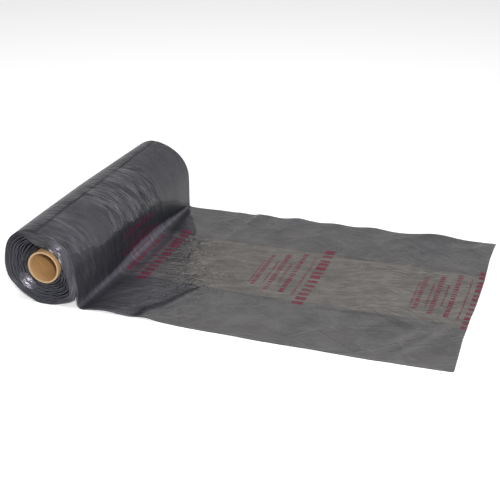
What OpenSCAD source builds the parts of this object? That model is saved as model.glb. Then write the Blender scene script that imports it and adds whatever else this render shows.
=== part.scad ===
// A roll of gusseted film bags, lying on its side with the first bag pulled out.
// The bags are one flattened tube of film, folded in at both sides, sealed and
// perforated at every bag and wound on a card core. The core's axis runs along Y,
// the first bag leaves the top of the roll, drops at +X and lies along the floor.
// The origin is on the floor, at the middle of the flat spot that the roll rests on.

/* [Bag web] */
// Width of the flattened web, across the roll
web_w = 370; // [260:5:480]
// Length of one bag, from perforation to perforation
bag_len = 595; // [450:5:800]
// Depth of the gusset folded in at each side
gusset_w = 108; // [60:2:140]
// Thickness that one layer of film is drawn with
film_t = 0.3; // [0.2:0.05:0.4]
// Air between the two halves of a folded gusset
gusset_gap = 0.3; // [0.2:0.05:0.5]
// Air between the front and the back of the bag, where there is no gusset
panel_gap = 0.2; // [0.1:0.05:0.3]

/* [Roll] */
// Diameter of the full roll
roll_d = 103; // [80:1:140]
// Gap between one turn and the next
turn_gap = 0.3; // [0.2:0.05:0.5]
// How far the core hangs below the middle of the soft roll
core_sag = 1.5; // [0:0.1:3]
// Width of the flat spot that the roll's own weight presses underneath
flat_w = 20; // [18:1:32]
// How far the tightly wound film at the core is drawn in from each edge
neck_in = 6; // [0:0.5:10]
// How far the edges of the turns wander in and out
edge_wander = 0.9; // [0:0.1:2]
// How far the soft roll bulges at the back of its near end
back_bulge = 4.5; // [0:0.5:8]
// How far the roll is drawn in below that bulge
back_tuck = 3; // [0:0.5:5]

/* [Core] */
// Inner diameter of the card core
core_bore = 38.1; // [25:0.1:45]
// Wall thickness of the card core
core_wall = 2.5; // [1.5:0.1:4]
// How far each end of the core lies inside the web's edge
core_in = 5; // [0:0.5:10]
// Clearance between the core and the first turn
core_clear = 0.1; // [0.05:0.05:0.3]

/* [First bag] */
// Where the perforation lies on the roll, in degrees up from the side of the drop
perf_angle = 90; // [50:10:120]
// Radius of the fold where the film turns from the drop onto the floor
fold_r = 8; // [5:0.5:14]
// Length of the uncut film at each tie of the perforation
tie_w = 2.5; // [1:0.5:5]
// Distance from one tie to the next
tie_pitch = 10; // [6:1:20]
// Width of the torn slots between the ties
slot_w = 0.8; // [0.4:0.1:1.5]
// Distance from the perforation to the bag's bottom seal
seal_in = 9; // [6:1:20]
// Width of the bottom seal
seal_w = 4; // [2:0.5:8]
// Height of the ripples in the film on the floor, as a share of the ones drawn
ripple = 1; // [0.2:0.1:1.5]

/* [Hidden] */
film_colour = [0.33, 0.33, 0.35];
wound_colour = [0.27, 0.27, 0.29];
card_colour = [0.76, 0.58, 0.36];

// The web's build-up: four layers at the gussets, two between them
side_t = 4 * film_t + gusset_gap;
mid_t = 2 * film_t + panel_gap;
seal_t = 2 * film_t;
turn_pitch = side_t + turn_gap;
fold_y = web_w / 2 - gusset_w;
step_y = 1.5;

// Radii about the core's own axis, before the roll sags
roll_r = roll_d / 2;
core_r = core_bore / 2 + core_wall;
wound_r = core_r + core_clear;
turn_steps = 36;
step_a = 360 / turn_steps;
wound_a = floor((roll_r - side_t - wound_r) / turn_pitch * turn_steps) * step_a;

// Radius of the web's outer side, a degrees along it from the perforation
// towards the core. The first bag lies at negative a.
function web_r(a) = roll_r - turn_pitch * a / 360;

// The sagged and flattened roll stretches each direction d from the core's axis
function round_reach(d) = core_sag * sin(d) + sqrt(pow(roll_r, 2) - pow(core_sag * cos(d), 2));
function round_k(d) = (round_reach(d) - wound_r) / (roll_r - wound_r);
function under_r(d) = web_r((d - perf_angle + 360) % 360);
under_reach = wound_r + (under_r(270) - wound_r) * round_k(270);
core_z = under_reach - roll_r + sqrt(pow(roll_r, 2) - pow(flat_w / 2, 2));
function floor_k(d) = (core_z / max(-sin(d), 0.01) - wound_r) / (under_r(d) - wound_r);
function stretch(d) = sin(d) < 0 ? min(round_k(d), floor_k(d)) : round_k(d);

// The near end leans back: it bulges behind the core and is drawn in below that.
// Both fade to nothing at the far end, where near is 0.
bulge_span = [98, 178];
tuck_span = [198, 258];
function swell(d, span) =
    d > span[0] && d < span[1] ? pow(sin(180 * (d - span[0]) / (span[1] - span[0])), 2) : 0;
function lean(d) = back_bulge * swell(d, bulge_span) - back_tuck * swell(d, tuck_span);
function sagged(r, d, near = 0) =
    let (q = (d + 720) % 360)
    wound_r + (r - wound_r) * (stretch(q) + near * lean(q) / (roll_r - wound_r));
function on_roll(r, d, near = 0) =
    let (s = sagged(r, d, near)) [s * cos(d), core_z + s * sin(d)];

// The edges of the turns: drawn in at the core, and wandering in two slow waves
neck_power = 1.4;
slow_wave = 0.31;
quick_wave = 0.47;
wave_shift = 70;
far_shift = 200;
function edge_in(a) =
    neck_in * pow(a / wound_a, neck_power)
    + edge_wander * (a < 360 ? a / 360 : 1)
        * (sin(a * quick_wave) + sin(a * slow_wave + wave_shift)) / 2;

function flipped(list) = [for (i = [len(list) - 1 : -1 : 0]) list[i]];

// Faces of a skin over rings of n points each. The faces in ends close the last
// ring, and turned over they close the first.
function skin_faces(rings, n, ends) = concat(
    [for (i = [0 : rings - 2], j = [0 : n - 1])
        let (a = i * n + j, b = i * n + (j + 1) % n) [a, b, b + n]],
    [for (i = [0 : rings - 2], j = [0 : n - 1])
        let (a = i * n + j, b = i * n + (j + 1) % n) [a, b + n, a + n]],
    [for (face = ends) flipped(face)],
    [for (face = ends) [for (j = face) (rings - 1) * n + j]]
);

// The card tube that the bags are wound on
module core() {
    core_len = web_w - 2 * core_in;
    color(card_colour)
        translate([0, 0, core_z])
            rotate([90, 0, 0])
                difference() {
                    cylinder(r = core_r, h = core_len, center = true, $fn = 96);
                    cylinder(d = core_bore, h = core_len + 2, center = true, $fn = 96);
                }
}

// One ring of the wound web, a degrees along it from the perforation
function web_ring(a) =
    let (
        d = perf_angle + a,
        near_y = -web_w / 2 + edge_in(a),
        far_y = web_w / 2 - edge_in(a + far_shift),
        corners = [[0, near_y, 1], [side_t, near_y, 1], [side_t, far_y, 0], [0, far_y, 0]]
    )
    [for (c = corners) let (p = on_roll(web_r(a) - c[0], d, c[2])) [p[0], c[1], p[1]]];

// The turns: every bag behind the first, wound from the perforation to the core
module wound_bags() {
    rings = [for (a = [0 : step_a : wound_a]) web_ring(a)];
    color(wound_colour)
        polyhedron(
            points = [for (ring = rings, p = ring) p],
            faces = skin_faces(len(rings), 4, [[0, 1, 2, 3]]),
            convexity = 20
        );
}

// The line that the first bag's underside follows: [x, z, x and z of its normal]
arc_len = PI * perf_angle / 180 * (roll_r - side_t / 2);
drop_x = on_roll(web_r(-perf_angle) - side_t, 0)[0];
drop_len = core_z - fold_r;
floor_x = drop_x + fold_r;
floor_len = bag_len - arc_len - drop_len - PI / 2 * (fold_r - side_t / 2);
floor_steps = round(floor_len / 12);
seal_a = seal_in / roll_r * 180 / PI;
seal_half_a = seal_w / roll_r * 90 / PI;
slot_a = slot_w / roll_r * 180 / PI;

function near_seal(a) = abs(a - seal_a) <= seal_half_a + 0.01;
roll_line_a = [
    slot_a,
    for (a = [0 : step_a : perf_angle - 0.1])
        each [
            if (a > slot_a && !near_seal(a)) a,
            if (seal_a >= a && seal_a < a + step_a)
                each [seal_a - seal_half_a - 0.5, seal_a - seal_half_a,
                      seal_a + seal_half_a, seal_a + seal_half_a + 0.5]
        ],
    perf_angle
];
function roll_station(a) =
    let (d = perf_angle - a, p = on_roll(web_r(-a) - side_t, d))
    [p[0], p[1], cos(d), sin(d), near_seal(a) ? seal_t : 0];
drop_steps = 4;
fold_steps = 5;
stations = concat(
    [for (a = roll_line_a) roll_station(a)],
    [for (i = [1 : drop_steps]) [drop_x, core_z - drop_len * i / drop_steps, 1, 0, 0]],
    [for (i = [1 : fold_steps])
        let (q = 90 * i / fold_steps)
        [floor_x - fold_r * cos(q), fold_r - fold_r * sin(q), cos(q), sin(q), 0]],
    [for (i = [1 : floor_steps]) [floor_x + floor_len * i / floor_steps, 0, 0, 1, 0]]
);

// Ripples where the film doesn't lie flat: [distance from the fold, height, half width]
far_ripples = [[62, 2.2, 22], [122, 3.2, 18], [176, 3.6, 22], [236, 2.6, 18], [300, 2.8, 20], [392, 5.2, 30]];
near_ripples = [[26, 2.4, 16], [92, 4.2, 13], [196, 1.4, 24], [300, 1.6, 30]];
ripple_reach = 62;
ripple_slant = 0.35;
function bump(x, mid, half) = exp(-pow((x - mid) / half, 2));
function side_ripples(list, x, inward) = [
    for (r = list) r[1] * bump(x + ripple_slant * inward, r[0], r[2])
] * [for (r = list) 1] * exp(-pow(inward / ripple_reach, 2));

// The film stands clear of the floor in a shallow hump before it settles flat
hump_x = 34;
hump_half = 26;
hump_h = 2.6;
flat_end = 14;
function lift(x, y) =
    x <= 0 ? 0 :
    ripple * min(1, x / flat_end) * (
        side_ripples(far_ripples, x, web_w / 2 - y)
        + side_ripples(near_ripples, x, web_w / 2 + y)
        + hump_h * bump(x - 0.12 * (fold_y - y), hump_x, hump_half)
    );

// The bag's section, as [y, height above the underside], in one closed loop.
// Each side gusset is a slot between the front and back pairs of layers.
edge_ys = [web_w / 2, web_w / 2 - gusset_w * 0.3, web_w / 2 - gusset_w * 0.6, fold_y + gusset_w * 0.12];
slot_y = fold_y + 2 * film_t;
side_ys = concat(edge_ys, [slot_y]);
low_ply = 2 * film_t;
high_ply = low_ply + gusset_gap;
function across(ys, h) = [for (y = ys) [y, h]];
function other_side(list) = [for (p = flipped(list)) [-p[0], p[1]]];
half_loop = concat(
    [[0, 0]],
    across(flipped(side_ys), 0),
    across(side_ys, low_ply),
    across(flipped(side_ys), high_ply),
    across(concat(edge_ys, [fold_y + step_y]), side_t),
    [[fold_y - step_y, mid_t]]
);
section = concat(
    half_loop,
    [[0, mid_t]],
    other_side([for (i = [1 : len(half_loop) - 1]) half_loop[i]])
);

// The faces that close the section: across the low plies, the high plies and the middle
n_side = len(side_ys);
step_i = 4 * n_side + 1;
half_ends = concat(
    [for (k = [0 : n_side - 2]) [1 + k, 2 + k, 2 * n_side - 1 - k, 2 * n_side - k]],
    [for (k = [0 : n_side - 2])
        [2 * n_side + 1 + k, 2 * n_side + 2 + k, 4 * n_side - 1 - k, 4 * n_side - k]],
    [for (pair = [[step_i + 1, 0], [0, 1], [1, 2 * n_side], [2 * n_side, 2 * n_side + 1],
                  [2 * n_side + 1, 4 * n_side]])
        concat([step_i], pair)]
);
section_ends = concat(
    half_ends,
    [for (face = half_ends) [for (i = flipped(face)) (len(section) - i) % len(section)]]
);

// A seal presses all the layers down to its own thickness
function pressed(h, seal) = seal == 0 ? h : h * seal / side_t;
function bag_point(s, p) =
    let (
        h = pressed(p[1], s[4]),
        up = s[3] == 1 ? lift(s[0] - floor_x, p[0]) : 0
    )
    [s[0] + h * s[2], p[0], s[1] + up + h * s[3]];

// One tie of uncut film across the perforation, from the wound web to the first
// bag, h above the web's underside
module tie(y, h) {
    translate([0, y - tie_w / 2, core_z])
        rotate([0, 90 - perf_angle, 0])
            translate([0, 0, sagged(roll_r, perf_angle) - side_t + h])
                cube([slot_w * 1.5, tie_w, film_t]);
}

// The first bag: over the top of the roll, down to the floor and along it
module leading_bag() {
    ties = floor((web_w / 2 - tie_w) / tie_pitch);
    color(film_colour)
        union() {
            polyhedron(
                points = [for (s = flipped(stations), p = section) bag_point(s, p)],
                faces = skin_faces(len(stations), len(section), section_ends),
                convexity = 20
            );
            for (i = [-ties : ties]) tie(i * tie_pitch, film_t / 2);
        }
}

core();
wound_bags();
leading_bag();
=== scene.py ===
# %% [markdown]
# A roll of thin film bags lies on its side, and its first bag is pulled out flat
# along the floor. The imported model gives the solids: a card core, the wound bags
# and the leading bag. This script dresses them as film and card. It starts from
# the frame, so that every size here is in the same metres as the solids.

# %% Load the frame and its box
import math
from math import cos, pi, radians, sin

import bmesh
import bpy
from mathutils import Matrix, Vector, noise


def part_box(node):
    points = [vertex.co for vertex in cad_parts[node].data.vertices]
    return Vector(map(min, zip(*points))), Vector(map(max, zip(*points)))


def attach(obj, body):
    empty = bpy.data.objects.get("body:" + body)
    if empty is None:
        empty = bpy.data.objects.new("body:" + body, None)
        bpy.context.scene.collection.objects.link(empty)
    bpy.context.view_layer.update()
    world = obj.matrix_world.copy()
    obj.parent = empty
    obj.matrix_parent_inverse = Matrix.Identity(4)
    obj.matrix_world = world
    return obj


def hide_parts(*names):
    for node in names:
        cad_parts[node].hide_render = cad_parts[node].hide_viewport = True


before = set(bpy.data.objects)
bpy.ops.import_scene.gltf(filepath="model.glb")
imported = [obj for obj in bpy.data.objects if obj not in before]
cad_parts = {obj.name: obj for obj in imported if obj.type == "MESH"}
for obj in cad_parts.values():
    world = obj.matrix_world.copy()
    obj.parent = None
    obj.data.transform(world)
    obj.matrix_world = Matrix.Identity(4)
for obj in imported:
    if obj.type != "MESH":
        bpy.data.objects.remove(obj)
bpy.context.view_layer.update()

# %% Driving sizes, in metres
MM = 0.001
core_low, core_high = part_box("core")
core_z = (core_low[2] + core_high[2]) / 2
core_r = (core_high[0] - core_low[0]) / 2
core_wall = 2.5 * MM
core_sag = 1.5 * MM
wound_r = core_r + 0.1 * MM  # the innermost turn
roll_r = 51.5 * MM
film_r = roll_r - 1.0 * MM  # the first bag's underside, on the roll
pressed_r = roll_r - 0.9 * MM  # the turn that lies on the floor
web_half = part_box("leading_bag")[1][1]
gusset_depth = 108 * MM
fold_v = web_half - gusset_depth
print(f"core {core_r / MM:.1f} mm in radius, {core_z / MM:.1f} mm up; web {2 * web_half / MM:.0f} mm wide")

# %% [markdown]
# Soft film is easiest to shape with a few small functions: one that eases from one
# value to another, one that makes a rounded bump, and Blender's own noise for what
# is left to chance.


# %% Small shaping functions
def ease(low, high, value):
    t = min(1.0, max(0.0, (value - low) / (high - low)))
    return t * t * (3 - 2 * t)


def bump(value, middle, half):
    return math.exp(-(((value - middle) / half) ** 2))


def wander(x, y, z=0.0):
    """Smooth noise between about -1 and 1."""
    return noise.noise(Vector((x, y, z)))


def patchy(x, v, long, wide, layer):
    """The same over the film, in cells of this size in millimetres."""
    return wander(x / (long * MM), v / (wide * MM), layer)


# %% [markdown]
# The wound film isn't a perfect round. The core hangs a little low in the soft roll,
# and the roll's weight presses a flat spot underneath. This is the same rule as the
# solids follow, so the dressed film lies where they are. On top of it the soft roll
# leans: the lists give, by the angle round the core, how many millimetres it bulges
# or is drawn in at its near end, its middle and its far end.

# %% The roll's section
perf_angle = 95.0
lean_start = 0.45  # the share of the half width where the near end's own shape sets in
near_lean = [
    (0, -5.2), (16, -6.5), (30, -6.6), (47, -4.6), (64, -5.4), (75, -5.2), (83, -3.8), (91, -2.4), (99, -0.8),
    (106, 0.5), (113, 2), (124, 3.4), (136, 4), (144, 3.5), (152, 2.2), (160, 1), (170, 0.2), (198, 0.4),
    (206, -0.8), (216, -2.5), (228, -3.1), (238, -3.5), (250, -2.9), (260, -1), (268, 0), (285, 0.2), (297, 1.2),
    (308, 3.5), (315, 5.8), (321, 7.6), (329, 4.6), (341, 0.9), (350, -2.6), (360, -5.2),
]
middle_lean = [
    (0, -1.5), (20, -2.6), (60, -3), (80, -2.2), (95, 0), (110, 2.4), (130, 4.6), (144, 5.4), (158, 3.4),
    (175, 1), (200, 0), (216, -1.4), (235, -2.2), (255, -1), (268, 0), (340, 0), (360, -1.5),
]
far_lean = [
    (0, 0), (30, -1), (58, -2.2), (78, -1.5), (92, 1), (104, 2.2), (120, 1.4), (144, 0.2), (160, 0), (360, 0),
]


def along(places, value):
    """The value on a line through (place, value) pairs."""
    for (a, va), (b, vb) in zip(places, places[1:]):
        if value <= b:
            t = max(0.0, (value - a) / (b - a))
            return va + (vb - va) * t
    return places[-1][1]


def in_metres(places, value):
    """The same for pairs in millimetres, with the place and the answer in metres."""
    return along(places, value / MM) * MM


def reach(d):
    """From the core's axis to the settled roll's outside, in the direction d."""
    low = core_sag * sin(d)
    return low + math.sqrt(roll_r**2 - (core_sag * cos(d)) ** 2)


def near_share(v):
    """0 along most of the web, rising to 1 at its near end."""
    return max(0.0, (-v / web_half - lean_start) / (1 - lean_start)) ** 1.5


def lean(degrees, v):
    degrees %= 360
    middle = along(middle_lean, degrees)
    if v < 0:
        return (middle + (along(near_lean, degrees) - middle) * near_share(v)) * MM
    return (middle + (along(far_lean, degrees) - middle) * min(1.0, v / web_half) ** 1.3) * MM


def on_roll(radius, degrees, v=0.0):
    """x and z of a place in the roll, whose radius is what it would be in a true round."""
    d = radians(degrees)
    stretch = (reach(d) - wound_r) / (roll_r - wound_r)
    if sin(d) < -0.01:
        stretch = min(stretch, (core_z / -sin(d) - wound_r) / (pressed_r - wound_r))
    r = wound_r + (radius - wound_r) * (stretch + lean(degrees, v) / (roll_r - wound_r))
    return r * cos(d), core_z + r * sin(d)


print("roll top", on_roll(roll_r, 90), "side", on_roll(roll_r, 0))

# %% [markdown]
# The first bag's film goes over the roll, drops beside it and turns onto the floor.
# A place on it is given by u, the distance from the perforation, and v, the place
# across the web. The bend on the floor is widest in the middle and sharp at the far
# end, as the photograph shows.

# %% The line that the film follows
drop_x = roll_r - 1.1 * MM
arc_len = radians(perf_angle) * (drop_x + 1.2 * MM)
bag_len = 601 * MM
# the radius of the bend on the floor, by the place across the web
bend_places = [(-185, 7), (-120, 11), (-30, 16), (60, 15), (120, 9), (185, 3.5)]


def web_place(u, v):
    """x, z, the outward direction as x and z, and the distance run on the floor."""
    if u < arc_len:
        degrees = perf_angle * (1 - u / arc_len)
        x, z = on_roll(film_r, degrees, v)
        return x, z, (cos(radians(degrees)), sin(radians(degrees))), 0.0
    radius = in_metres(bend_places, v)
    down = u - arc_len
    straight = core_z - radius
    # at the web's near end the film is tucked back under the roll
    foot = drop_x - 3.6 * MM * near_share(v)
    if down < straight:
        drawn = on_roll(film_r, 0, v)[0] - drop_x
        sink = down / straight
        x = drop_x + drawn * (1 - sink) ** 1.4 + (foot - drop_x) * ease(0.3, 0.95, sink)
        return x, core_z - down, (1.0, 0.0), 0.0
    turn = (down - straight) / radius
    if turn < pi / 2:
        c, s = cos(turn), sin(turn)
        return foot + radius * (1 - c), radius * (1 - s), (c, s), 0.0
    run = down - straight - radius * pi / 2
    return foot + radius + run, 0.0, (0.0, 1.0), run


def perf_waver(v):
    """How far the slack perforation strays along the web, in metres."""
    return (2.6 * wander(v / (48 * MM), 1.0) + 0.9 * wander(v / (15 * MM), 6.0)) * MM


print("free end at x =", round(web_place(bag_len, 0.0)[0] / MM, 1), "mm")

# %% [markdown]
# Where the film lies on the pale floor it is painted lighter, as the floor's light
# painted through the film, and where it hangs free or only comes near the floor it
# is painted darker, as shade. The two lists below hold how far the film hangs: its
# height up the drop, and its distance out along the floor, both by the place across
# the web, in millimetres.

# %% Where the film hangs free
drop_line = [
    (-185, 72), (-133, 63), (-111, 57), (-77, 58), (-48, 57), (-37, 62), (-17, 54), (4, 53),
    (19, 65), (27, 65), (33, 53), (71, 51), (100, 41), (130, 32), (173, 11), (186, 6),
]
floor_line = [
    (-186, 121), (-169, 140), (-114, 151), (-88, 166), (-60, 155), (-35, 142), (-17, 130), (9, 122),
    (28, 124), (48, 120), (65, 115), (74, 106), (97, 98), (180, 53), (186, 51),
]


def floor_gap(x, v):
    """How far, in metres, x lies inside the stretch that is clear of the floor."""
    wobble = 2.5 * patchy(x, v, 14, 14, 3.0) + 1.2 * patchy(x, v, 5, 5, 7.0)
    return in_metres(floor_line, v) - x + wobble * MM


# %% [markdown]
# The film on the floor isn't flat. Long ripples lift its two edges, ridges run
# slantwise across the gussets, fine tension wrinkles run along the middle, and the
# film is crumpled where it first meets the floor.

# %% Ripples and ridges in the film on the floor
far_ripples = [(86, 1, 10), (124, 2.4, 16), (177, 3.4, 17), (232, 2.2, 18), (290, 3.2, 22), (383, 5.2, 30)]
near_ripples = [(30, 1.2, 12), (86, 3.6, 13), (196, 0.9, 24), (300, 1, 30)]
ripple_reach = 62 * MM
ripple_slant = 0.35
ridges = [
    # start x and y, end x and y, height and half width, in millimetres
    (153, 85, 168, 180, 1.8, 5), (201, 112, 250, 178, 1.5, 6), (215, 88, 300, 150, 0.9, 5),
    (330, 96, 396, 170, 1.3, 7), (268, 84, 330, 110, 0.8, 4), (400, 100, 470, 150, 1.6, 8),
    (450, 120, 520, 176, 2, 9), (128, -178, 170, -86, 1.6, 3.5), (141, -176, 176, -96, -0.6, 3),
    (60, -176, 140, -92, 0.9, 5), (64, -150, 150, -60, 0.8, 4), (96, -182, 158, -110, 0.9, 4),
    (210, -84, 206, -170, 0.7, 6), (400, -176, 470, -96, 1.3, 8), (330, -150, 420, -84, 0.8, 7),
    (446, -180, 520, -120, 1.4, 7), (240, -90, 330, -130, 0.6, 6), (184, -90, 190, -120, 0.9, 3),
]


def beside(x, y, line):
    """How far along a line a place lies, from 0 to 1, and how far off to its side."""
    x0, y0, x1, y1 = line
    dx, dy = x1 - x0, y1 - y0
    length = math.hypot(dx, dy)
    return ((x - x0) * dx + (y - y0) * dy) / length**2, ((x - x0) * dy - (y - y0) * dx) / length


def ridge_height(x, v):
    total = 0.0
    for *line, height, half in ridges:
        t, off = beside(x, v, line)
        if abs(off) > 3 * half or not -0.3 < t < 1.3:
            continue
        off += 2.2 * wander(t * 2.1, height, half)
        total += height * bump(off, 0, half) * ease(-0.25, 0.2, t) * ease(1.25, 0.8, t)
    return total


def between_folds(v, near=(8, 8), far=(2, 2)):
    """1 between the two folded sides, 0 on them. Each pair says how far outside its
    fold the change starts and how far inside it ends, in millimetres."""
    from_near = ease(-fold_v - near[0] * MM, -fold_v + near[1] * MM, v)
    return from_near * ease(fold_v + far[0] * MM, fold_v - far[1] * MM, v)


def side_ripple(ripples, run, inward):
    total = sum(h * bump(run + ripple_slant * inward, at * MM, half * MM) for at, h, half in ripples)
    return total * bump(inward, 0, ripple_reach)


def lift(x, v, run):
    """How far the film stands off the floor, in metres."""
    far, near = web_half - v, web_half + v
    swell = side_ripple(far_ripples, run, far) + side_ripple(near_ripples, run, near)
    reach_x = in_metres(floor_line, v)
    hump = 3.0 * bump(x, (drop_x + reach_x) / 2, max(12 * MM, (reach_x - drop_x) / 2.4))
    hump *= 0.2 + 0.8 * ease(web_half, web_half - 40 * MM, v)
    swell += hump + ridge_height(x / MM, v / MM)
    middle = between_folds(v, (6, 10), (6, 10))
    tension = patchy(x, v, 95, 9, 1.0) + 0.5 * patchy(x, v, 50, 4.5, 5.0)
    swell += 0.55 * middle * max(0.0, tension + 0.25)
    crumple = bump(x, reach_x + 8 * MM, 20 * MM) * (0.35 * ease(fold_v, fold_v - 10 * MM, v) + 0.65 * middle)
    crumpled = abs(patchy(x, v, 14, 12, 9.0)) + 0.6 * abs(patchy(x, v, 6, 5, 4.0))
    swell += 1.5 * crumple * crumpled
    swell += 0.5 * (1 - middle) * max(0.0, patchy(x, v, 40, 26, 11.0))
    return swell * MM * ease(0, 10 * MM, run)


def layer_height(u, v):
    """The front film's height over the underside: four layers at the sides, two between."""
    edge = fold_v + 1.6 * MM * wander(u / (60 * MM), 8.0 if v > 0 else 2.0)
    side = ease(edge - 1.2 * MM, edge + 1.2 * MM, abs(v))
    sealed = ease(0, 12 * MM, u)
    return (0.60 + 0.15 * sealed + 0.6 * side * sealed) * MM


# %% [markdown]
# How far the film hangs and how light it is are marks on the mesh: a number at each
# point, which the material reads to paint shade where the film hangs and the pale
# floor's light where it lies on the floor. They are rules of the same u and v as the
# shape, so the looks follow the film's form.

# %% Where the film lies or hangs, and its painted light and shade
tuck_line = (128, -183, 170, -86)
lies_well = -30 * MM  # a distance that counts as lying, well away from where it hangs
# a tone of 1 on the pale floor stands for the floor's light painted through the film
roll_tone = 0.42  # the tone of film that lies on the roll; on the pale floor it is 1


def tuck_distance(x, v):
    """How far a place lies from the diagonal tuck, whose shadow is painted dark, in millimetres."""
    t, off = beside(x, v, tuck_line)
    if not -0.1 < t < 1.05:
        return 99.0
    return (off + 1.5 * wander(t * 3, 4.0)) / (1.25 - 0.75 * t)


def hanging(u, v):
    """How far, in metres, a place lies inside the stretch that hangs free; below 0 it lies on something."""
    x, z, _, run = web_place(u, v)
    if run > 0:
        return floor_gap(x, v) * (1 - 0.75 * between_folds(v))
    if u < arc_len + lies_well:
        return lies_well
    return in_metres(drop_line, v) + 1.2 * MM * wander(v / (9 * MM), 2.0) - z


def lying_painted_tone(u, v):
    """How light the film is, from 0 to 1, where it lies on the roll or on the floor. On the
    floor it has the pale floor's light painted through it, less painted shadow and shade.
    """
    x, _, _, run = web_place(u, v)
    if run <= 0:
        return roll_tone
    # a painted shadow along the tuck
    tuck_shadow = 0.9 * min(1.0, 1.5 * bump(tuck_distance(x / MM, v / MM), 0, 4.8))
    patch = between_folds(v) * bump(x, in_metres(floor_line, v), 24 * MM)
    patch = patch * 0.35 * patchy(x, v, 6, 6, 5.0)
    # painted shade where the film stands off the floor and its shadow falls under it
    raised_shade = 0.16 * ease(0.6 * MM, 3.0 * MM, lift(x, v, run)) * ease(-5 * MM, -30 * MM, floor_gap(x, v))
    return max(0.1, 1.0 - tuck_shadow + patch - raised_shade)


# %% [markdown]
# The bend on the floor turns towards the light, so a highlight is painted on it as a
# bright band along the foot of the drop. It starts and stops at heights that change
# across the web.

# %% The hanging film's painted shade and the painted highlight on its bend
# heights in millimetres, by the place across the web
bend_tops = [
    (-185, 9), (-142, 10), (-58, 11.5), (-30, 15), (-16, 16.6), (18, 17.9), (72, 15.6), (120, 10), (175, 4),
]
# how bright its painted highlight is
bend_highlight_strength = [(-185, 0.25), (-150, 0.4), (-90, 0.65), (-30, 0.9), (60, 1), (130, 0.85), (185, 0.6)]
bend_feet = [(-185, 1.2), (-120, 2.6), (0, 4.3), (60, 4.3), (100, 3.4), (175, 1)]


def hung_painted_shade(u, v):
    """The film's painted shade, as a tone from 0 to 1, where it hangs free: darkest on the
    drop, lighter where it hangs low over the pale floor, less the tuck's painted shadow.
    """
    x, z, _, _ = web_place(u, v)
    # the drop's painted shade, lighter towards the near end and darker towards the far end
    drop = 0.07 + 0.15 * ease(-40 * MM, -150 * MM, v) - 0.06 * ease(60 * MM, 110 * MM, v)
    settling = ease(45 * MM, 125 * MM, x)
    side = 0.20 + 0.05 * settling if v > fold_v else 0.10 + 0.38 * settling
    # a painted shadow along the tuck
    tuck_shadow = 0.5 * bump(tuck_distance(x / MM, v / MM), 0, 4.2)
    floor = max(0.05, side + (0.32 + 0.42 * settling - side) * between_folds(v) - tuck_shadow)
    foot = in_metres(bend_feet, v)
    return drop + (floor - drop) * ease(foot + 1.5 * MM, foot - 0.5 * MM, z)


def bend_highlight(u, v):
    """How strongly the highlight painted on the film's bend on the floor shows, from 0 to 1."""
    if u < arc_len:
        return 0.0
    _, z, _, _ = web_place(u, v)
    top, foot = in_metres(bend_tops, v), in_metres(bend_feet, v)
    top += 1.6 * MM * wander(v / (11 * MM), 5.0)
    strength = along(bend_highlight_strength, v / MM) * ease(top + 1.5 * MM, top - 1.5 * MM, z)
    return strength * ease(foot - 1.5 * MM, foot + 1.5 * MM, z)


# %% [markdown]
# Handling leaves creases that stay in the film. Each is painted as a pale line, a
# painted sheen where the film is stretched, or as a dark one, painted shade where it
# turns away from the light.

# %% Creases that stay in the film
kept_creases = [
    # start x and y, end x and y, half width, all in millimetres, and how much lighter as painted sheen, or below 0
    # darker as painted shade
    (505, -78, 455, -172, 5, 0.18), (468, -102, 432, -160, 5, 0.16), (484, -104, 449, -160, 3.5, -0.16),
    (509, -111, 474, -174, 22, -0.16), (414, -136, 447, -88, 13, -0.13), (519, -92, 521, -160, 5, 0.11),
    (423, -89, 457, -104, 2.5, -0.29), (476, -80, 495, -77, 2.5, -0.23), (104, 71, 139, 72, 2, 0.29),
    (139, 72, 181, 73, 2, 0.32), (110, 62, 167, 65, 2, -0.25), (231, 76, 263, 76, 2, 0.25),
    (207, -76, 239, -81, 3, -0.25), (239, -81, 281, -80, 4, -0.22), (245, -78, 277, -72, 2, 0.22),
    (136, -35, 167, -47, 2, 0.29), (157, -57, 194, -53, 2, 0.36), (185, -68, 212, -71, 2.5, 0.18),
    (165, 140, 156, 103, 2.5, 0.29), (156, 103, 146, 79, 2.5, 0.18), (204, -79, 211, -102, 2, -0.22),
    (118, 60, 126, 37, 2.4, -0.47), (117, 29, 126, -7, 2.6, -0.40), (126, -7, 126, -28, 2.4, -0.32),
    (176, -3, 212, 2, 2, -0.14), (185, 134, 230, 162, 3, 0.14), (413, 180, 492, 177, 9, -0.25),
    (427, 195, 473, 197, 4, 0.18), (325, -85, 362, -86, 3, -0.32), (362, -86, 400, -80, 3, -0.36),
    (400, -80, 427, -82, 2.5, -0.25), (427, -82, 462, -99, 2.5, -0.29), (328, 73, 373, 77, 2.5, -0.32),
    (332, 67, 374, 70, 2.2, 0.14), (411, 77, 461, 80, 2, 0.22), (322, 1, 353, 19, 3, -0.16),
    (369, 9, 407, 30, 3, 0.13), (325, 131, 371, 147, 3, 0.13), (348, 115, 411, 119, 8, -0.13),
    (377, -140, 437, -111, 14, -0.09),
]


def crease_sheen_and_shade(u, v):
    """How much painted sheen, or below 0 painted shade, the creases add to the film at a place."""
    x, _, _, run = web_place(u, v)
    if run <= 0:
        return 0.0
    total = 0.0
    for *line, half, change in kept_creases:
        t, off = beside(x / MM, v / MM, line)
        if abs(off) < 2.5 * half and -0.1 < t < 1.1:
            off += 0.6 * half * wander(t * 2.6, change * 50, half)
            total += change * bump(off, 0, half) * ease(-0.1, 0.15, t) * ease(1.1, 0.85, t)
    return total


# %% [markdown]
# Each film is made the way a tailor would cut it: a flat grid, with its flat place
# kept as a UV map in metres, and then every point is moved to where the film lies.
# The UV map lets the print and the wrinkles follow the film over the roll.


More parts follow.
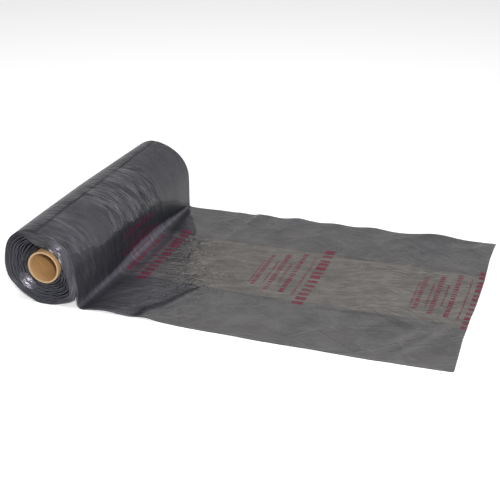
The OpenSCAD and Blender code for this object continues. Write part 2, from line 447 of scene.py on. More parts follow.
# %% A flat grid of film that is then moved into place
def as_piece(bm, name):
    mesh = bpy.data.meshes.new(name)
    bm.to_mesh(mesh)
    bm.free()
    made = bpy.data.objects.new(name, mesh)
    bpy.context.scene.collection.objects.link(made)
    print(name, len(mesh.polygons), "faces")
    return made


def film_sheet(name, u_cells, v_cells, place, marks=(), u_range=(0, 1), v_range=(0, 1)):
    """A sheet whose place rule gives each point's spot, and whose marks are rules too."""
    bm = bmesh.new()
    bmesh.ops.create_grid(bm, x_segments=u_cells, y_segments=v_cells, size=1.0)
    web = bm.loops.layers.uv.new("web")
    layers = {mark: bm.verts.layers.float.new(mark) for mark, rule in marks}
    flat = {}
    for vert in bm.verts:
        u = u_range[0] + (u_range[1] - u_range[0]) * (vert.co.x + 1) / 2
        v = v_range[0] + (v_range[1] - v_range[0]) * (vert.co.y + 1) / 2
        flat[vert] = (u, v)
    for face in bm.faces:
        face.smooth = True
        for loop in face.loops:
            loop[web].uv = flat[loop.vert]
    for vert, (u, v) in flat.items():
        vert.co = place(u, v)
        for mark, rule in marks:
            vert[layers[mark]] = rule(u, v)
    return as_piece(bm, name)


def thicken(piece, thickness, side=-1):
    wall = piece.modifiers.new("film thickness", "SOLIDIFY")
    wall.thickness = thickness
    wall.offset = side
    wall.use_even_offset = False
    return piece


# %% [markdown]
# Three more marks tell the material where to draw its fine wrinkles. Film that was
# pulled tight shows lines round the roll, most of all over its middle. Film that was
# crushed where it meets the floor is crackled all over, and further out it keeps the
# creases of having been folded flat.


# %% Where the film is pulled and where it is crackled
def pulled(u, v):
    """How strongly the lines of pulled film show, from 0 to about 1."""
    over_roll = max(ease(arc_len + 25 * MM, arc_len, u), 0.5 * ease(arc_len + 52 * MM, arc_len + 40 * MM, u))
    strong = ease(-86 * MM, -52 * MM, v) * ease(90 * MM, 64 * MM, v)
    weak = 0.06 + 0.49 * ease(-95 * MM, -140 * MM, v)
    on_the_roll = max(strong, weak) * (0.8 + 0.6 * patchy(u, v, 30, 30, 12.0))
    elsewhere = 0.06 + 0.14 * between_folds(v, (0, 12), (0, 12))
    return on_the_roll * over_roll + elsewhere * (1 - over_roll)


def crackled(u, v):
    """How crackled the film is by having been crushed, from 0 to about 1."""
    x, _, _, run = web_place(u, v)
    if run <= 0:
        return 0.2 * ease(arc_len, arc_len - 40 * MM, u)
    middle = between_folds(v, (45, 10), (4, 10))
    first_lies = in_metres(floor_line, v)
    crushed = bump(x, first_lies - 4 * MM, 34 * MM)
    beyond = bump(x, first_lies + 50 * MM, 60 * MM) * bump(v, -30 * MM, 40 * MM)
    side = 0.3 * ease(fold_v, fold_v - 12 * MM, v)
    return 0.14 + 0.86 * crushed * (side + (1 - side) * middle) + 0.2 * beyond


def folded(u, v):
    """How creased the film on the floor is by having been folded flat, from 0 to 1."""
    x, _, _, run = web_place(u, v)
    return ease(20 * MM, 90 * MM, run) * (0.55 + 0.45 * ease(240 * MM, 420 * MM, x))


film_marks = [
    ("lying", lying_painted_tone), ("hung", hung_painted_shade), ("hanging", hanging), ("bend_highlight", bend_highlight),
    ("pulled", pulled), ("crackled", crackled), ("folded", folded), ("crease_sheen_and_shade", crease_sheen_and_shade),
]

# %% [markdown]
# The bag's front film carries all the wrinkles that show. Its cut end runs in a
# gentle curve, because the film was torn off along a slack perforation. The edges
# spread a little past the web's width where the gussets have loosened.

# %% The first bag's front film
near_spread = [
    (0, 0), (160, 0), (184, 2.2), (215, 3.8), (278, 5.6), (340, 6.3), (424, 6.8), (470, 5.6), (507, 4.3), (530, 3),
]
far_spread = [
    (0, 0), (52, 0), (62, -2.6), (80, -2), (110, -1), (160, -3), (230, -1.2), (350, -0.4), (420, 0.2),
    (500, 4), (530, 4),
]
end_curve = [
    (-185, 5.6), (-172, 4.2), (-158, 2.8), (-134, 0.6), (-108, -1.7), (-54, -2.7), (4, -1.1), (67, -0.5),
    (134, 0.1), (171, 2.4), (186, 4),
]


def film_point(u, v, height, wrinkled=1.0):
    """Where a place of the first bag lies, this far out from the film's underside."""
    u += in_metres(end_curve, v) * ease(bag_len - 60 * MM, bag_len, u)
    u = max(0.0, u - perf_waver(v) * ease(50 * MM, 0, u))
    x, z, (out_x, out_z), run = web_place(u, v)
    if run > 0:
        z += wrinkled * lift(x, v, run)
        v -= in_metres(near_spread, x) * ease(-fold_v, -web_half, v)
        v += in_metres(far_spread, x) * ease(fold_v, web_half, v)
    elif u > arc_len:
        down = (u - arc_len) / (core_z + 1e-6)
        height += 0.5 * MM * wander(v / (30 * MM), down * 1.5, 6.0) * ease(0, 0.3, down)
    return Vector((x + out_x * height, v, z + out_z * height))


front_film = film_sheet(
    "first_bag_front",
    u_cells=260,
    v_cells=150,
    place=lambda u, v: film_point(u, v, layer_height(u, v) + 0.15 * MM),
    marks=film_marks,
    u_range=(0.15 * MM, bag_len),
    v_range=(-web_half, web_half),
)
thicken(front_film, 0.3 * MM)

# %% [markdown]
# Under the front lies the bag's back film, and between them the two gussets, each
# folded in from its side. They show only at the edges and at the bag's open end, so
# they are coarser grids of the same cut.

# %% The back film and the gussets
back_film = film_sheet(
    "first_bag_back",
    u_cells=130,
    v_cells=60,
    place=lambda u, v: film_point(u, v, 0.3 * MM, wrinkled=0.9),
    u_range=(0.5 * MM, bag_len - 1.5 * MM),
    v_range=(-web_half + 0.4 * MM, web_half - 0.4 * MM),
)
thicken(back_film, 0.25 * MM)


def gusset(name, v_range, height):
    piece = film_sheet(
        name,
        u_cells=130,
        v_cells=14,
        place=lambda u, v: film_point(u, v, height, wrinkled=0.92),
        u_range=(0.5 * MM, bag_len - 0.8 * MM),
        v_range=v_range,
    )
    return thicken(piece, 0.22 * MM)


gusset_inner = fold_v + 1.5 * MM
gusset_outer = web_half - 0.6 * MM
gussets = [
    gusset(f"{side}_gusset_{layer}", v_range, height)
    for side, v_range in (("far", (gusset_inner, gusset_outer)), ("near", (-gusset_outer, -gusset_inner)))
    for layer, height in (("upper", 0.95 * MM), ("lower", 0.62 * MM))
]

# %% [markdown]
# The wound bags are one long film in a spiral. It is drawn with fewer turns than the
# real roll has, bunched in groups with gaps between them. At each end the edges
# wander in and out, and the tight inner turns are drawn in past the core's end.

# %% The wound turns
turn_count = 24
turn_steps = 60
total_steps = turn_count * turn_steps
turn_pitch = (roll_r - wound_r - 0.9 * MM) / turn_count
edge_columns = [0, 0.8, 2.2, 4.5, 8, 14, 24, 40, 75, 128, 185]
columns = [-web_half + c * MM for c in edge_columns] + [web_half - c * MM for c in edge_columns[-2::-1]]
last_column = len(columns) - 1
# how far the turns are drawn in at the core, by the angle, in millimetres
near_depth = [(0, 11), (60, 12), (90, 12), (140, 10), (200, 8), (260, 7), (300, 8), (340, 10), (360, 11)]
far_depth = 8.0


def calm_band(turn, degrees):
    """From 0 to 1: the outer turns on the left lie so evenly that they look like one band."""
    return bump(degrees % 360, 168, 42) * ease(12, 8, turn)


def gather(turn, degrees):
    """How far a turn strays from its even place, in metres."""
    d = radians(degrees)
    loose = 0.9 + 0.9 * wander(cos(d) * 1.3, sin(d) * 1.3, 4.0)
    inside = ease(0, 1.5, turn) * ease(turn_count, turn_count - 1.5, turn)
    bunch = -0.42 * loose * sin(2 * pi * turn / 3.1 + 1.6 * wander(degrees / 160, turn / 9))
    corners = 0.5 * abs(sin(radians(3.2 * degrees) + 2.0 * wander(turn / 7, 3.0))) - 0.32
    return (bunch + 2.0 * corners * ease(2, 8, turn)) * inside * (1 - 0.75 * calm_band(turn, degrees)) * MM


def end_depth(share, degrees, side):
    """How far in from the web's edge the ends of the turns lie, in metres."""
    depth = along(near_depth, degrees % 360) if side < 0 else far_depth
    return depth * max(0.0, share) ** 1.25 * MM


def drawn_in(turn, degrees, side):
    """How far one turn's edge lies in from the web's edge, in metres."""
    d = radians(degrees)
    group = 1.5 * wander(turn / 2.6 + side * 7, cos(d) * 1.1, sin(d) * 1.1)
    stray = 0.9 * wander(turn * 1.7, cos(d) * 1.6 + side * 9, sin(d) * 1.6)
    stray += 0.5 * wander(turn * 3.1, cos(d) * 5 + side * 5, sin(d) * 5)
    pocket = 0.0
    if side < 0:
        around = (degrees - 130) % 360
        around = min(around, 360 - around)
        pocket = 12 * bump(around, 0, 24) * ease(0.5, 0.75, turn / turn_count)
    stray = (group + stray) * ease(0, 1, turn) * (1 - 0.8 * calm_band(turn, degrees))
    return end_depth(turn / turn_count, degrees, side) + (pocket + stray) * MM


def turn_point(step, column):
    turn = step / turn_steps
    v = columns[column]
    waver = perf_waver(v) * ease(50 * MM, 0, turn * 2 * pi * roll_r)
    degrees = perf_angle + 360 * turn + math.degrees(waver / roll_r)
    side = -1 if v < 0 else 1
    end_in = web_half - abs(v)
    settle = ease(40 * MM, 0, end_in)
    v = side * (abs(v) - drawn_in(turn, degrees, side) * settle)
    flare = 0.5 * wander(turn * 2.3, degrees / 38, side * 3.0) * ease(6 * MM, 0, end_in)
    radius = roll_r - turn_pitch * turn + gather(turn, degrees) + flare * MM * ease(0, 1, turn)
    x, z = on_roll(min(radius, roll_r), degrees, v)
    return Vector((x, v, max(z, 0.0)))


def grid_step(u, v):
    """The step along the spiral and the column across it."""
    return round(u * total_steps), round(v * last_column)


def wound_tone_and_shade(u, v):
    """The outer turn is lighter than the rest, but for its ends, where shade is painted
    dark. The inner turns are darker, with a random spread.
    """
    turn = u * turn_count
    inside = 0.16 + 0.16 * wander(turn * 0.9, v * 40, 5.0)
    outside = 0.40 - 0.30 * ease(3.5, 1.5, min(v, 1 - v) * last_column)
    return outside + (inside - outside) * ease(0.8, 1.1, turn)


wound_film = film_sheet(
    "wound_film",
    u_cells=total_steps,
    v_cells=last_column,
    place=lambda u, v: turn_point(*grid_step(u, v)),
    marks=[("lying", wound_tone_and_shade), ("hanging", lambda u, v: lies_well), ("pulled", lambda u, v: 0.5)],
)

# %% The wound film's flat places, in metres
web_run = [0.0]
for step in range(total_steps):
    radius = roll_r - turn_pitch * step / turn_steps
    web_run.append(web_run[-1] + radius * radians(360 / turn_steps))
for corner in wound_film.data.uv_layers["web"].data:
    step, column = grid_step(*corner.uv)
    corner.uv = (-web_run[step], columns[column])
thicken(wound_film, 0.62 * MM, side=1)
print("drawn web in the roll:", round(web_run[-1], 2), "m")

# %% [markdown]
# At the near end the ends of the outer turns have slipped inwards over the others.
# On the right they make a smooth skirt over the rings, at the top a flap hangs over
# it, and low on the left a small gather of film bulges out. All three are bands of
# film that follow the hollow of the roll's end, with shallow ridges that run round
# with the turns. The mark called glint says where glints are painted along their
# creases.

# %% The slipped bands at the near end
# the bands' flat places: measured round a mean radius, on a part of the film of their own
map_r = 38 * MM
map_start = -0.3


def end_band(name, angles, inner, outer, proud, cells, glints=(), belly=0.0):
    """A band of film over the near ends of the turns, and its area in square metres.
    It lies between two lists of radii by the angle, this proud of the turns, in millimetres."""

    def at(t, s):
        degrees = angles[0] + (angles[1] - angles[0]) * t
        low = along(inner, degrees) + 0.8 * wander(t * 14, 3.0, proud)
        return degrees, (low + (along(outer, degrees) - low) * s) * MM

    def place(t, s):
        degrees, radius = at(t, s)
        d = radians(degrees)
        share = (roll_r - radius) / (roll_r - wound_r)
        ridges = 0.6 * sin(radius / MM * 1.7 + 3.0 * wander(cos(d) * 1.4, sin(d) * 1.4, 6.0))
        ridges += 1.3 * wander(radius / (2.6 * MM), cos(d) * 2.6, sin(d) * 2.6)
        tucked = 1.0 - ease(1.0, 0.0, min(t, 1 - t) * abs(angles[1] - angles[0]) / 14)
        swell = 0.75 * ridges + belly * sin(pi * s) * sin(pi * t)
        out = proud * tucked + swell * ease(1.0, 0.8, s)
        rolled = 1.6 * ease(0.9, 1.0, s) + 0.8 * ease(0.1, 0.0, s)
        y = -web_half + end_depth(share, degrees, -1) - (out - rolled) * MM
        x, z = on_roll(radius, degrees, y)
        return Vector((x, y, z))

    def glint(t, s):
        degrees, radius = at(t, s)
        return max(bump(degrees, d0, half_d) * bump(radius / MM, r0, half_r) for d0, half_d, r0, half_r in glints)

    marks = [("glint", glint)] if glints else ()
    piece = film_sheet(name, *cells, place, marks)
    area = sum(face.area for face in piece.data.polygons)
    for corner in piece.data.uv_layers["web"].data:
        degrees, radius = at(corner.uv.x, corner.uv.y)
        corner.uv = (radians(degrees) * map_r + map_start, radius)
    return thicken(piece, 0.3 * MM, side=1), area


rim = [(0, roll_r / MM - 0.3)]
end_skirt, skirt_area = end_band(
    "end_skirt",
    angles=(-66, 78),
    inner=[(-66, 46), (-40, 43), (-24, 38), (-10, 32), (2, 26.5), (16, 24.5), (40, 23.6), (60, 23.6), (78, 25)],
    outer=rim,
    proud=1.7,
    cells=(130, 40),
    # angle and its half width, radius and its half width
    glints=[(62, 8, 27, 2.5), (52, 7, 43, 4), (44, 9, 35, 4), (30, 8, 29, 3)],
)
end_flap, flap_area = end_band(
    "end_flap",
    angles=(74, 122),
    inner=[(74, 36), (78, 29), (86, 27.2), (96, 27.2), (104, 29.5), (110, 34), (116, 41), (122, 48)],
    outer=rim,
    proud=2.9,
    cells=(46, 26),
    belly=1.0,
)
end_gather, gather_area = end_band(
    "end_gather",
    angles=(198, 250),
    inner=[(198, 31), (206, 26), (226, 24.5), (242, 25.5), (250, 30)],
    outer=[(198, 36), (208, 41), (226, 42), (240, 40), (250, 35)],
    proud=2.2,
    cells=(50, 26),
    glints=[(221, 9, 28, 2.4), (224, 10, 34, 1.8), (231, 9, 38.5, 1.6)],
    belly=1.4,
)
print(f"skirt {skirt_area * 1e4:.0f} cm2, flap {flap_area * 1e4:.0f} cm2, gather {gather_area * 1e4:.0f} cm2")

# %% [markdown]
# The core is a plain card tube. Its wall is a small rectangle spun once round the
# axis, with the four rims softened by a bevel, because cut card is never sharp.

# %% The card core
def card_tube(name, inner, outer, half_length, centre_z, softened):
    bm = bmesh.new()
    corners = [(inner, -half_length), (outer, -half_length), (outer, half_length), (inner, half_length)]
    verts = [bm.verts.new((r, y, centre_z)) for r, y in corners]
    edges = [bm.edges.new((verts[i], verts[(i + 1) % 4])) for i in range(4)]
    once_round = {"cent": (0, 0, centre_z), "axis": (0, 1, 0), "angle": 2 * pi, "steps": 128}
    bmesh.ops.spin(bm, geom=verts + edges, use_merge=True, use_duplicate=False, **once_round)
    bmesh.ops.remove_doubles(bm, verts=bm.verts, dist=1e-6)
    # a rim's edges keep to one y and are shorter than the wall is thick
    rims = [e for e in bm.edges if abs(e.verts[0].co.y - e.verts[1].co.y) < 1e-6 and e.calc_length() < 1.5 * MM]
    bmesh.ops.bevel(
        bm, geom=rims, offset=softened, offset_type="OFFSET", affect="EDGES", segments=2, profile=0.5, material=-1
    )
    bmesh.ops.recalc_face_normals(bm, faces=bm.faces)
    for face in bm.faces:
        face.smooth = True
    return as_piece(bm, name)


card_core = card_tube("card_core", core_r - core_wall, core_r, core_high[1], core_z, softened=0.35 * MM)

# %% [markdown]
# Materials are built from nodes. A short helper adds a node, sets its inputs and
# links what is handed to it. A few more stand for the nodes used most, which keeps
# each finish readable.


# %% Helpers that add and link nodes
def fill(node, inputs):
    """Sets a node's inputs, or links them where the value is another node's socket."""
    for name, value in inputs.items():
        if isinstance(value, bpy.types.NodeSocket):
            node.id_data.links.new(value, node.inputs[name])
        else:
            node.inputs[name].default_value = value


def add_node(tree, kind, inputs=None, **settings):
    made = tree.nodes.new("ShaderNode" + kind)
    for name, value in settings.items():
        setattr(made, name, value)
    fill(made, inputs or {})
    return made


def maths(tree, operation, *values):
    return add_node(tree, "Math", dict(enumerate(values)), operation=operation).outputs[0]


def parts(tree, vector):
    return add_node(tree, "SeparateXYZ", {"Vector": vector}).outputs


def plus(tree, *values):
    total = values[0]
    for value in values[1:]:
        total = maths(tree, "ADD", total, value)
    return total


def times(tree, a, b):
    return maths(tree, "MULTIPLY", a, b)


def distance_from(tree, value, middle):
    return maths(tree, "ABSOLUTE", maths(tree, "SUBTRACT", value, middle))


def blended(tree, factor, a, b, **settings):
    inputs = {"Factor": factor, "A": a, "B": b}
    return add_node(tree, "Mix", inputs, **{"data_type": "RGBA", **settings}).outputs["Result"]


def remapped(tree, value, low, high, to_low=0.0, to_high=1.0, steps="SMOOTHSTEP"):
    inputs = {"Value": value, "From Min": low, "From Max": high, "To Min": to_low, "To Max": to_high}
    return add_node(tree, "MapRange", inputs, interpolation_type=steps).outputs[0]


def noise_at(tree, vector, scale, detail=2.0, **more):
    inputs = {"Vector": vector, "Scale": scale, "Detail": detail, **more}
    return add_node(tree, "TexNoise", inputs).outputs[0]


def new_group(name, inputs=()):
    """A node group, what it is given, and a function that adds one output and links it."""
    tree = bpy.data.node_groups.new(name, "ShaderNodeTree")
    tree.interface.new_socket("Web", in_out="INPUT", socket_type="NodeSocketVector")
    for socket in inputs:
        tree.interface.new_socket(socket, in_out="INPUT", socket_type="NodeSocketFloat")
    given, results = tree.nodes.new("NodeGroupInput").outputs, tree.nodes.new("NodeGroupOutput").inputs

    def result(socket, value):
        tree.interface.new_socket(socket, in_out="OUTPUT", socket_type="NodeSocketFloat")
        tree.links.new(value, results[socket])

    return tree, given, result


# %% [markdown]
# The film's fine wrinkles are too small for the mesh, so a node group turns noise
# into a height from 0 to 1. Stretched one way and turned a little it gives the long
# pulled lines, left nearly even it gives the crackle of handled film, and in large
# cells it gives the creases of film that was folded flat. Folding the noise about
# its middle makes ridges, which catch the light as thin film does.


# %% The wrinkle group
def stretched(tree, web, turned, long, short):
    """The film's flat place, turned and measured in cells of this size in millimetres."""
    inputs = {"Vector": web, "Rotation": (0, 0, turned), "Scale": (long * MM, short * MM, 1.0)}
    return add_node(tree, "Mapping", inputs, vector_type="TEXTURE").outputs[0]


def ridged(tree, cells, detail, distortion):
    """Noise folded about its middle: 1 along thin ridges, falling to 0."""
    off = distance_from(tree, noise_at(tree, cells, 1.0, detail, Distortion=distortion), 0.5)
    return maths(tree, "POWER", remapped(tree, off, 0.0, 0.13, 1.0, 0.0, "LINEAR"), 1.7)


def wrinkle_group():
    tree, given, result = new_group("film_wrinkles", ["Lines", "Crackle", "Folds"])

    def ridges(turned, long, short, detail, distortion):
        return ridged(tree, stretched(tree, given["Web"], turned, long, short), detail, distortion)

    coarse, fine = ridges(0.22, 70, 15, 1.0, 0.5), ridges(0.12, 45, 8, 1.0, 0.4)
    lines = times(tree, plus(tree, times(tree, coarse, 0.62), times(tree, fine, 0.38)), given["Lines"])
    crackle = times(tree, ridges(0.5, 26, 18, 1.5, 2.4), given["Crackle"])
    folds = maths(tree, "MAXIMUM", ridges(0.6, 90, 34, 1.0, 0.8), ridges(-0.5, 70, 26, 1.0, 0.8))
    folds = times(tree, folds, given["Folds"])
    result("Height", plus(tree, lines, crackle, times(tree, folds, 0.7)))
    result("Pulled", lines)
    result("Creased", crackle)
    result("Folded", folds)
    print(tree.name, len(tree.nodes), "nodes")
    return tree


wrinkle_tree = wrinkle_group()

# %% [markdown]
# The print is a block of plain red bars that repeats along the web: a bold row, and
# then small and medium rows in turn. Each row is a band across the film, broken
# into dashes whose widths a white noise picks.

# %% The print group
print_pitch = 216.5 * MM
first_bold_row = 167 * MM
print_margin = 20 * MM  # room before the bold row, so that the repeat doesn't cut it
print_rows = [
    # distance behind the bold row, height, middle, half length, dash, in millimetres
    (0, 14, 3, 88, 13.5), (14.5, 2.6, 0, 62, 5), (31, 6.6, 3, 65, 7.2), (42, 2.6, 0, 33, 4.6),
    (53, 6.6, 2, 59, 6.8), (61.5, 2.6, 1, 36, 4.8), (74, 6.2, 2, 50, 6.4), (80.5, 2.4, -4, 36, 4.4),
]


def print_group():
    tree, given, result = new_group("print_bars")
    along_web, across_web, _ = parts(tree, given["Web"])
    behind = maths(tree, "SUBTRACT", first_bold_row + print_margin, along_web)
    behind = maths(tree, "FLOORED_MODULO", behind, print_pitch)
    covered = 0.0
    for index, (back, height, middle, half, dash) in enumerate(print_rows):
        in_row = maths(tree, "LESS_THAN", distance_from(tree, behind, back * MM + print_margin), height / 2 * MM)
        across = maths(tree, "SUBTRACT", across_web, middle * MM)
        in_length = maths(tree, "LESS_THAN", maths(tree, "ABSOLUTE", across), half * MM)
        count = maths(tree, "MULTIPLY_ADD", across, 1 / (dash * MM), 0.5)
        number = plus(tree, maths(tree, "FLOOR", count), index * 31.7)
        chance = add_node(tree, "TexWhiteNoise", {"W": number}, noise_dimensions="1D")
        wide = maths(tree, "MULTIPLY_ADD", chance.outputs["Value"], 0.5, 0.42)
        in_dash = maths(tree, "LESS_THAN", maths(tree, "FRACT", count), wide)
        covered = maths(tree, "MAXIMUM", covered, times(tree, times(tree, in_row, in_length), in_dash))
    result("Mask", covered)
    print(tree.name, len(tree.nodes), "nodes")
    return tree


print_tree = print_group()

# %% [markdown]
# Every film takes its colour from one number, its tone, which runs from dark film
# through film on the roll to film on the pale floor. Its wrinkles make it lighter or
# darker, with highlights painted along the stretched lines and shade painted in the
# crushed creases, and they give it its relief.


# %% What all films share
def start_material(name):
    made = bpy.data.materials.new(name)
    made.use_nodes = True
    return made, made.node_tree


def flat_place(tree):
    return add_node(tree, "UVMap", uv_map="web").outputs[0]


def shader_of(made):
    return made.node_tree.nodes["Principled BSDF"]


def finish_material(made, colour, height, strength, depth, roughness, specular):
    relief = {"Height": height, "Strength": strength, "Distance": depth}
    relief = add_node(made.node_tree, "Bump", relief).outputs[0]
    gloss = {"Roughness": roughness, "Specular IOR Level": specular}
    fill(shader_of(made), {"Base Color": colour, "Normal": relief, **gloss})
    print(made.name, len(made.node_tree.nodes), "nodes")
    return made


def mark(tree, name):
    """A mark on the film's mesh, or 0 where the mesh has none by this name."""
    return add_node(tree, "Attribute", attribute_name=name).outputs["Fac"]


def swing(tree, web, scale, distance):
    """Noise that strays to both sides of 0."""
    return times(tree, maths(tree, "SUBTRACT", noise_at(tree, web, scale), 0.5), distance)


def wrinkled(tree, web, lines, crackle, folds=0.0):
    inputs = {"Web": web, "Lines": lines, "Crackle": crackle, "Folds": folds}
    return add_node(tree, "Group", inputs, node_tree=wrinkle_tree).outputs


def tinted(tree, tone, dark, middle, light):
    on_the_roll = remapped(tree, tone, 0.0, roll_tone, steps="LINEAR")
    on_the_floor = remapped(tree, tone, roll_tone, 1.0, steps="LINEAR")
    return blended(tree, on_the_floor, blended(tree, on_the_roll, dark, middle), light)


def shaded(tree, web, film, wrinkles, *changes):
    """The film made lighter or darker by a slow random cloud, by highlights painted along
    its pulled lines and shade painted in its creases, and by these changes.
    """
    cloud = noise_at(tree, web, 26.0, 6.0, Roughness=0.7)
    # painted highlights along the pulled lines, and painted shade in the crushed creases
    stretch = remapped(tree, wrinkles["Pulled"], 0.0, 1.0, -0.06, 1.9, "LINEAR")
    crease_shade = remapped(tree, wrinkles["Creased"], 0.0, 1.0, 0.03, -0.42, "LINEAR")
    shade = plus(tree, remapped(tree, cloud, 0.3, 0.7, 0.86, 1.14), stretch, crease_shade, *changes)
    return add_node(tree, "VectorMath", {0: film, "Scale": shade}, operation="SCALE").outputs[0]


# %% [markdown]
# The first bag and the wound film share a finish, which reads all the marks. Its
# tone changes with a ragged edge where the film lifts off the floor, from the floor's
# painted light to the painted shade of hanging film. It is cooler and darker where
# the gussets double it, as less of the painted floor light comes through, with
# painted shade along each fold and a painted highlight along each edge. The print
# turns it crimson, takes the same painted light and shade, and is worn away in specks.


# %% The bag film
# dark film is painted shade on the bag and a darker random tone on the other films; lit film has the pale floor's
# light painted through it
dark_film, roll_film, lit_film = (0.013, 0.014, 0.018, 1), (0.047, 0.046, 0.052, 1), (0.099, 0.093, 0.088, 1)
film_gloss = 0.1


def doubled_sides(tree, film, tone, side):
    # where the gussets double the film, less of the pale floor's painted light comes through it, so it is darker
    # and cooler
    doubled = times(tree, side, remapped(tree, tone, 0.44, 0.75, 0.15, 1.0))
    cooler = blended(tree, 1.0, film, (0.84, 0.865, 0.93, 1), blend_type="MULTIPLY")
    return blended(tree, doubled, film, cooler)


def printed(tree, web, film, tone):
    bars = add_node(tree, "Group", {"Web": web}, node_tree=print_tree).outputs["Mask"]
    worn = remapped(tree, noise_at(tree, web, 420.0), 0.32, 0.52, 0.5, 0.92)
    # the ink is darker where the film's tone is, so it takes the same painted light and shade
    ink = blended(tree, tone, (0.070, 0.008, 0.026, 1), (0.108, 0.012, 0.027, 1))
    return blended(tree, times(tree, bars, worn), film, ink)


def bag_material(name):
    made, tree = start_material(name)
    web = flat_place(tree)
    off_middle = maths(tree, "ABSOLUTE", parts(tree, web)["Y"])
    ragged = plus(tree, swing(tree, web, 90.0, 9 * MM), swing(tree, web, 300.0, 4 * MM))
    # painted shade where the film hangs free and the pale floor's painted light where it lies, with a ragged edge
    # between
    hangs = remapped(tree, plus(tree, mark(tree, "hanging"), ragged), -0.6 * MM, 0.6 * MM)
    tone = blended(tree, hangs, mark(tree, "lying"), mark(tree, "hung"), data_type="FLOAT")
    tight = times(tree, mark(tree, "pulled"), remapped(tree, tone, 0.1, 0.36, 0.3, 1.0))
    crushed = mark(tree, "crackled")
    wrinkles = wrinkled(tree, web, tight, times(tree, crushed, 0.8), mark(tree, "folded"))

    fold = plus(tree, off_middle, swing(tree, web, 16.0, 6 * MM))
    side = remapped(tree, fold, fold_v - 0.8 * MM, fold_v + 0.8 * MM)
    film = doubled_sides(tree, tinted(tree, tone, dark_film, roll_film, lit_film), tone, side)
    # a painted highlight on the bend at the foot of the drop, with faint streaks
    streaks = noise_at(tree, stretched(tree, web, 0.1, 40, 5), 1.0)
    bend = times(tree, mark(tree, "bend_highlight"), remapped(tree, streaks, 0.35, 0.65, 0.94, 1.04))
    film = blended(tree, bend, film, (0.080, 0.073, 0.092, 1))

    # a painted highlight along each edge of the film
    edge = remapped(tree, off_middle, web_half - 1.3 * MM, web_half - 0.5 * MM, 0.0, 0.8)
    # painted highlights along the pulled lines less their mean, a painted sheen on the fold creases, the creases'
    # painted sheen and shade, streaks where it hangs, crackled film a little lighter, painted shade along each
    # fold, and the edges' painted highlight
    changes = [
        times(tree, tight, -0.45),
        times(tree, wrinkles["Folded"], 0.14),
        mark(tree, "crease_sheen_and_shade"),
        times(tree, hangs, remapped(tree, streaks, 0.3, 0.7, -0.14, 0.22)),
        times(tree, crushed, 0.1),
        remapped(tree, distance_from(tree, fold, fold_v), 0.0, 1.4 * MM, -0.22, 0.0),
        times(tree, edge, remapped(tree, tone, 0.5, 0.7, 1.0, 0.1)),
    ]
    film = printed(tree, web, shaded(tree, web, film, wrinkles, *changes), tone)
    return finish_material(made, film, wrinkles["Height"], 1.0, 2.2 * MM, 0.33, film_gloss)


bag_finish = bag_material("bag film")

# %% [markdown]
# The other films are seen only at the roll's end and the bag's mouth, so they have
# an even noise for their tone. The slipped bands also have glints and a lavender
# sheen painted along their creases where the glint mark is, under a thin coat that
# is smoother than the film.


# %% The other films
def plain_film(name, middle, light, roughness, lines, crackle, depth, glints=False):
    made, tree = start_material(name)
    web = flat_place(tree)
    tone = remapped(tree, noise_at(tree, web, 60.0), 0.3, 0.7, 0.25, 0.5)
    wrinkles = wrinkled(tree, web, lines, crackle)
    film = shaded(tree, web, tinted(tree, tone, dark_film, middle, light), wrinkles)
    if glints:
        # painted glints: a lavender painted sheen over the glint mark, and pale painted glints along its creases
        glint = mark(tree, "glint")
        creases = ridged(tree, stretched(tree, web, 0.0, 11, 3.4), 1.0, 0.6)
        film = blended(tree, times(tree, glint, 0.5), film, (0.085, 0.075, 0.105, 1))
        sparks = times(tree, remapped(tree, creases, 0.45, 0.8), glint)
        film = blended(tree, sparks, film, (0.62, 0.58, 0.68, 1))
    return finish_material(made, film, wrinkles["Height"], 1.0, depth, roughness, film_gloss)


skirt_film, flap_film = (0.034, 0.033, 0.040, 1), (0.030, 0.030, 0.032, 1)
skirt_finish = plain_film("slipped film", skirt_film, skirt_film, 0.25, 0.5, 0.1, 1.1 * MM, glints=True)
flap_finish = plain_film("flap film", flap_film, flap_film, 0.5, 0.5, 0.1, 1.1 * MM)
inner_finish = plain_film("inner film", skirt_film, roll_film, 0.40, 0.3, 0.3, 0.4 * MM)
fill(shader_of(skirt_finish), {"Coat Weight": 0.25, "Coat Roughness": 0.12})

# %% [markdown]
# The card is brown kraft paper wound in a slanting strip, so its faint seam runs
# round the tube like a screw, over a fine, mottled grain. Its rims are cut, and
# paler.


# %% The card material
def card_material(name, strip_width=62 * MM):
    made, tree = start_material(name)
    place = add_node(tree, "TexCoord").outputs["Object"]
    centred = add_node(tree, "Mapping", {"Vector": place, "Location": (0, 0, -core_z)}).outputs[0]
    x, y, z = parts(tree, centred)
    angle = maths(tree, "DIVIDE", maths(tree, "ARCTAN2", z, x), 2 * pi)
    strip = maths(tree, "FRACT", plus(tree, angle, maths(tree, "DIVIDE", y, strip_width)))
    seam = maths(tree, "LESS_THAN", strip, 0.012)
    mottle = noise_at(tree, place, 55.0, 6.0, Roughness=0.7)
    brown = blended(tree, mottle, (0.205, 0.11, 0.042, 1), (0.37, 0.218, 0.088, 1))
    brown = blended(tree, times(tree, seam, 0.5), brown, (0.2, 0.11, 0.05, 1))
    off_middle = maths(tree, "ABSOLUTE", y)
    rim = remapped(tree, off_middle, core_high[1] - 7 * MM, core_high[1] - 0.3 * MM, 0.0, 0.8)
    brown = blended(tree, rim, brown, (0.30, 0.205, 0.115, 1))
    fibre = noise_at(tree, place, 900.0, 3.0)
    return finish_material(made, brown, fibre, 0.5, 0.2 * MM, 0.85, 0.3)


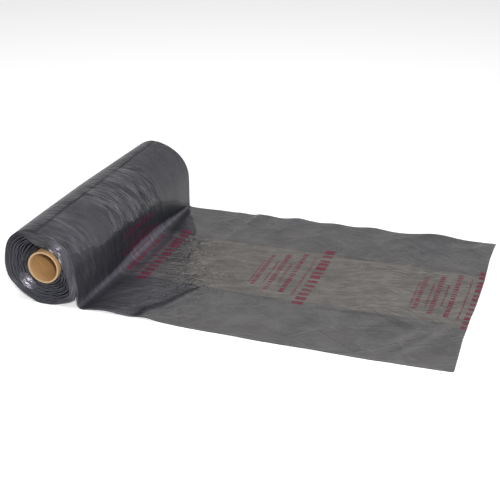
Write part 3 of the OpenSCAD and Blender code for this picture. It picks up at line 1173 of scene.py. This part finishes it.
card_finish = card_material("kraft card")
for finish, pieces in (
    (bag_finish, (front_film, wound_film)),
    (inner_finish, (back_film, *gussets)),
    (skirt_finish, (end_skirt, end_gather)),
    (flap_finish, (end_flap,)),
    (card_finish, (card_core,)),
):
    for piece in pieces:
        piece.data.materials.append(finish)
    print(finish.name, "on", [piece.name for piece in pieces])

# %% [markdown]
# Each piece rides on the part's one body and stands for the solid it covers, which
# is hidden.

# %% What each piece stands for
stand_ins = (
    ("leading_bag", "film", (front_film, back_film, *gussets)),
    ("wound_bags", "wound_film", (wound_film, end_skirt, end_flap, end_gather)),
    ("core", "card", (card_core,)),
)
for node, slot, pieces in stand_ins:
    for piece in pieces:
        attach(piece, "root")
        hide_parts(node)
print("declared:", [piece.name for *_, pieces in stand_ins for piece in pieces])

# %% [markdown]
# The stage is a plain pale floor under soft light: a wide overhead light, and a
# smaller one from the front right that draws the streaks on the roll's end, together
# with the glints painted on the slipped bands.

# %% The floor, the lights and the camera
bm = bmesh.new()
bmesh.ops.create_grid(bm, x_segments=1, y_segments=1, size=6.0)
floor = as_piece(bm, "floor")
floor_finish, _ = start_material("pale floor")
fill(shader_of(floor_finish), {"Base Color": (0.8, 0.8, 0.8, 1), "Roughness": 0.9, "Specular IOR Level": 0.0})
fill(shader_of(floor_finish), {"Emission Color": (1, 1, 1, 1), "Emission Strength": 0.25})
floor.data.materials.append(floor_finish)


def area_light(name, place, aim, size, power):
    lamp = bpy.data.lights.new(name, "AREA")
    lamp.shape = "DISK"
    lamp.size = size
    lamp.energy = power
    holder = bpy.data.objects.new(name, lamp)
    holder.location = place
    holder.rotation_euler = (Vector(aim) - Vector(place)).to_track_quat("-Z", "Y").to_euler()
    bpy.context.scene.collection.objects.link(holder)
    return holder


area_light("overhead", (0.2, -0.2, 2.4), (0.2, 0, 0), 2.4, 32)
area_light("front_right", (1.13, -1.89, 1.14), (0.0, -0.2, 0.05), 0.16, 52)
area_light("front", (0.25, -2.4, 0.7), (0.0, -0.2, 0.05), 0.8, 10)
world = bpy.data.worlds.new("studio")
bpy.context.scene.world = world
world.use_nodes = True
sky = world.node_tree
direction = add_node(sky, "TexCoord").outputs["Generated"]
strength = remapped(sky, parts(sky, direction)["Z"], 0.05, 0.45, 1.0, 0.42, "LINEAR")
fill(sky.nodes["Background"], {"Color": (1, 1, 1, 1), "Strength": strength})
bpy.context.scene.view_settings.view_transform = "Standard"

camera_data = bpy.data.cameras.new("camera")
camera_data.lens = 76.88
camera_data.sensor_width = 36
camera = bpy.data.objects.new("camera", camera_data)
camera.location = (0.6430, -1.2513, 0.6175)
camera.rotation_euler = (radians(90 - 24.03), 0, radians(18.90))
bpy.context.scene.collection.objects.link(camera)
bpy.context.scene.camera = camera
